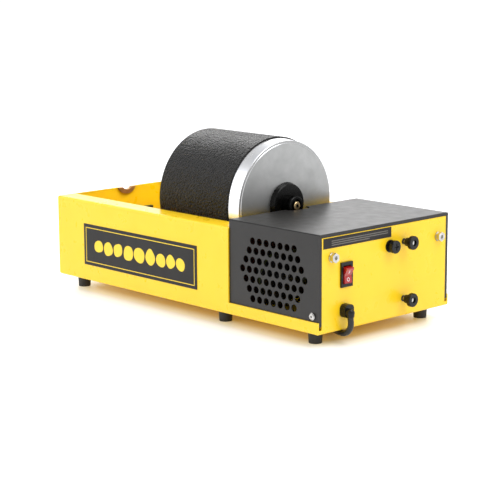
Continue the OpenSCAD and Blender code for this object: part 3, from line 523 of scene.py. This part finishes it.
# Tie round the coil: a flat band that hugs the coil's section, in millimetres
TIE_ANGLE = math.radians(40)
TIE_HALF_W, TIE_IN, TIE_OUT = 3, -0.2, 0.3
TIE_LOW, TIE_HIGH = 0.5, COIL_LOW + COIL_STEP + CORD_R / MM + 0.5
TIE_REACH = COIL_PITCH * COIL_TURNS / 2 + CORD_R / MM + 0.4
TIE_POWER = 2 / 0.45
TIE_POINTS = 64
tie_out = Vector((math.cos(TIE_ANGLE), math.sin(TIE_ANGLE), 0))
tie_side = Vector((-math.sin(TIE_ANGLE), math.cos(TIE_ANGLE), 0))
tie_middle = Vector((COIL_X, COIL_Y, (TIE_LOW + TIE_HIGH) / 2)) + tie_out * (COIL_OUTER + COIL_INNER) / 2
points, faces = [], []
for i in range(TIE_POINTS):
    u, w = squarish(turn_of(i, TIE_POINTS), TIE_REACH, (TIE_HIGH - TIE_LOW) / 2, TIE_POWER)
    round_coil = tie_out * u + Vector((0, 0, w))
    grow = round_coil.normalized()
    for side, thick in ((-1, TIE_IN), (1, TIE_IN), (1, TIE_OUT), (-1, TIE_OUT)):
        points.append((tie_middle + round_coil + tie_side * side * TIE_HALF_W + grow * thick) * MM)
    ahead = (i + 1) % TIE_POINTS
    for k in range(4):
        q = (k + 1) % 4
        faces.append((i * 4 + k, i * 4 + q, ahead * 4 + q, ahead * 4 + k))
tie = mesh_piece("coil_tie", tie_plastic, "machine", points, faces, smooth=False)
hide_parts("cord_tie")

# ---- Printed details: thin shapes, no lettering ----

INK_THICK = 0.00006


def print_shapes(name, shader, body, shapes, at, across, up, out, slot):
    """Flat shapes laid on a face: at its middle, with its across, up and out directions.

    A shape is a rim, or a rim and a hole with as many points.
    """
    across, up, out = Vector(across), Vector(up), Vector(out)
    points, faces = [], []
    for outlines in shapes:
        n = len(outlines[0])
        base = len(points)
        top = base + n
        for outline in outlines:
            for lift in (0, INK_THICK):
                points += [Vector(at) + across * u + up * v + out * lift for u, v in outline]
        if len(outlines) == 1:
            faces.append(tuple(top + k for k in range(n)))
        for k in range(n):
            q = (k + 1) % n
            faces.append((base + k, base + q, top + q, top + k))
            if len(outlines) == 2:
                faces.append((top + k, top + q, top + 2 * n + q, top + 2 * n + k))
                faces.append((base + 2 * n + q, base + 2 * n + k, top + 2 * n + k, top + 2 * n + q))
    return mesh_piece(name, shader, body, points, faces, smooth=False)


def rectangle(w, h, u=0.0, v=0.0):
    return [(u - w / 2, v - h / 2), (u + w / 2, v - h / 2), (u + w / 2, v + h / 2), (u - w / 2, v + h / 2)]


def circle(radius, count=32):
    return [squarish(turn_of(k, count), radius, radius, 2) for k in range(count)]


def stone(u, v, w, h, turn, seed, count=40):
    """A tumbled stone: a round outline with a few slow swells."""
    rng = random.Random(seed)
    swells = [(k, rng.uniform(0.01, 0.045), rng.uniform(0, 6.28)) for k in (2, 3, 4)]
    t = math.radians(turn)
    out = []
    for i in range(count):
        a = turn_of(i, count)
        r = 1 + sum(s * math.cos(k * a + p) for k, s, p in swells)
        x, y = r * w / 2 * math.cos(a), r * h / 2 * math.sin(a)
        out.append((u + x * math.cos(t) - y * math.sin(t), v + x * math.sin(t) + y * math.cos(t)))
    return out


# Name plate: a thin border round a row of stones, each given by its middle, width and height in millimetres
BORDER_INSET, BORDER_LINE = 0.0035, 0.0008
STONES = [
    (-67, 0, 15, 13), (-50.5, -0.6, 15, 15), (-34, 0.4, 15, 14), (-16.5, -0.4, 17, 15), (1.5, 0, 16, 18),
    (19.5, 0.4, 17, 15), (36.5, -0.4, 14, 15), (52, 0.4, 14, 14), (67.5, -0.4, 14, 13)]
STONE_TURN = 17
low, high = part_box("nameplate")
border_w, border_h = high.x - low.x - 2 * BORDER_INSET, high.z - low.z - 2 * BORDER_INSET
border = (rectangle(border_w, border_h), rectangle(border_w - 2 * BORDER_LINE, border_h - 2 * BORDER_LINE))
row = [(stone(u * MM, v * MM, w * MM, h * MM, STONE_TURN * i, i),) for i, (u, v, w, h) in enumerate(STONES)]
on_plate = dict(at=((low.x + high.x) / 2, low.y, (low.z + high.z) / 2), across=(1, 0, 0), up=(0, 0, 1),
                out=(0, -1, 0), slot="plate")
print_shapes("plate_border", print_yellow, "machine", [border], **on_plate)
print_shapes("plate_stones", print_yellow, "machine", row, **on_plate)

# End label: three bars of a line's height, each given by its length and middle
BAR_H = 0.0009
BARS = [(0.078, 0.003, 0.0017), (0.078, 0.003, -0.0003), (0.052, -0.010, -0.0023)]
low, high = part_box("end_label")
print_shapes("label_lines", print_grey, "machine", [(rectangle(w, BAR_H, u, v),) for w, u, v in BARS],
             at=(high.x, (low.y + high.y) / 2, (low.z + high.z) / 2), across=(0, 1, 0), up=(0, 0, 1),
             out=(1, 0, 0), slot="label")

# Marks on the rocker: a bar on the upper face, a ring on the lower. The rocker is a shallow valley, tilted.
PIVOT_DEPTH, SWITCH_Z = 0.0015, 0.0669
ROCKER_TILT = Matrix.Rotation(math.radians(10), 3, "Y")
VALLEY, VALLEY_RISE, ROCKER_HALF = 0.0044, 0.0023, 0.0073
MARK_UP, MARK_LIFT = 0.0037, 0.00002
low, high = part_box("switch_rocker")
PIVOT = Vector((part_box("base_pan")[1].x - PIVOT_DEPTH, (low.y + high.y) / 2, SWITCH_Z))


def on_rocker(name, shape, half):
    """Lays a shape on one half of the rocker; half is 1 above, -1 below."""
    middle = ROCKER_TILT @ Vector((VALLEY + VALLEY_RISE / 2, 0, half * MARK_UP))
    lie = ROCKER_TILT @ Matrix.Rotation(half * math.atan2(VALLEY_RISE, ROCKER_HALF), 3, "Y")
    across, up, out = (lie @ Vector(axis) for axis in ((0, 1, 0), (0, 0, 1), (1, 0, 0)))
    print_shapes(name, print_white, "rocker", [shape], PIVOT + middle + out * MARK_LIFT, across, up, out,
                 "red_plastic")


on_rocker("rocker_bar", (rectangle(0.0008, 0.0036),), 1)
on_rocker("rocker_ring", (circle(0.0019), circle(0.0013)), -1)

# ---- Floor and light ----

FLOOR_HALF = 20
floor_mesh = bpy.data.meshes.new("floor")
floor_mesh.from_pydata([(u * FLOOR_HALF, v * FLOOR_HALF, 0) for u, v in ((-1, -1), (1, -1), (1, 1), (-1, 1))],
                       [], [(0, 1, 2, 3)])
white = Shader("floor_white", (0.62, 0.62, 0.62), 0.4, Emission_Strength=1)
floor_mesh.materials.append(white.mat)

# The paper glows less under the machine and close to it, as a painted contact shadow, and more warmly,
# as painted bounce light from the yellow coat. Each stop is a distance from a patch
# of the given half size, and the glow's colour.
PAPER_GLOW = [
    (0.0, (0.10, 0.04, 0)), (0.025, (0.20, 0.12, 0.02)), (0.043, (0.37, 0.34, 0.24)),
    (0.056, (0.48, 0.50, 0.50)), (0.075, (0.56, 0.57, 0.60)), (0.11, (0.58, 0.58, 0.60))]
GLOW_REACH = 0.15
SHADE_HALF = (0.155, 0.045, 0)
aside = white.vector("SUBTRACT", white.vector("ABSOLUTE", white.where()), SHADE_HALF)
away = white.node("ShaderNodeVectorMath", operation="LENGTH")
white.set(away, 0, white.vector("MAXIMUM", aside))
ramp = white.node("ShaderNodeValToRGB")
white.set(ramp, 0, white.math("DIVIDE", away.outputs["Value"], GLOW_REACH))
stops = ramp.color_ramp.elements  # a new ramp has two
for _ in PAPER_GLOW[2:]:
    stops.new(0.5)
for stop, (far, glow) in zip(stops, PAPER_GLOW):
    stop.position = far / GLOW_REACH
    stop.color = (*glow, 1)
white.set(white.bsdf, "Emission Color", ramp.outputs["Color"])
link("floor", floor_mesh)

# A white sweep round the machine, with a darker ceiling
world = bpy.data.worlds.new("studio")
scene.world = world
world.use_nodes = True
background = world.node_tree.nodes["Background"]
background.inputs["Color"].default_value = (1, 1, 1, 1)
toward = world.node_tree.nodes.new("ShaderNodeTexCoord")
height = world.node_tree.nodes.new("ShaderNodeSeparateXYZ")
sweep = world.node_tree.nodes.new("ShaderNodeMapRange")
sweep.interpolation_type = "SMOOTHSTEP"
for key, value in (("From Min", 0.66), ("From Max", 0.95), ("To Min", 0.76), ("To Max", 0.35)):
    sweep.inputs[key].default_value = value
world.node_tree.links.new(toward.outputs["Generated"], height.inputs[0])
world.node_tree.links.new(height.outputs["Z"], sweep.inputs["Value"])
world.node_tree.links.new(sweep.outputs[0], background.inputs["Strength"])


def area_light(name, at, target, size, power):
    light = bpy.data.lights.new(name, "AREA")
    light.shape = "RECTANGLE"
    light.size, light.size_y = size
    light.energy = power
    lamp = link(name, light)
    lamp.location = at
    lamp.rotation_euler = (Vector(target) - Vector(at)).to_track_quat("-Z", "Y").to_euler()
    return light


area_light("key", (-1.2, -1.9, 1.1), (0, 0, 0.1), (2.6, 1.6), 19)
area_light("fill", (1.3, 0.1, 1.7), (-0.1, 0, 0.08), (1.0, 1.0), 13.5)
area_light("top", (0.1, 0.5, 2.2), (0, 0, 0), (1.8, 1.4), 27)
area_light("back", (-2.2, 1.9, 1.3), (0.1, 0, 0.1), (1.8, 1.1), 17)

# A weak warm beam on the tray's far wall
tray = area_light("tray", (0.28, -0.02, 0.75), (-0.21, 0.02, 0.05), (0.12, 0.12), 0.06)
tray.color = (1, 0.72, 0.35)
tray.spread = math.radians(16)
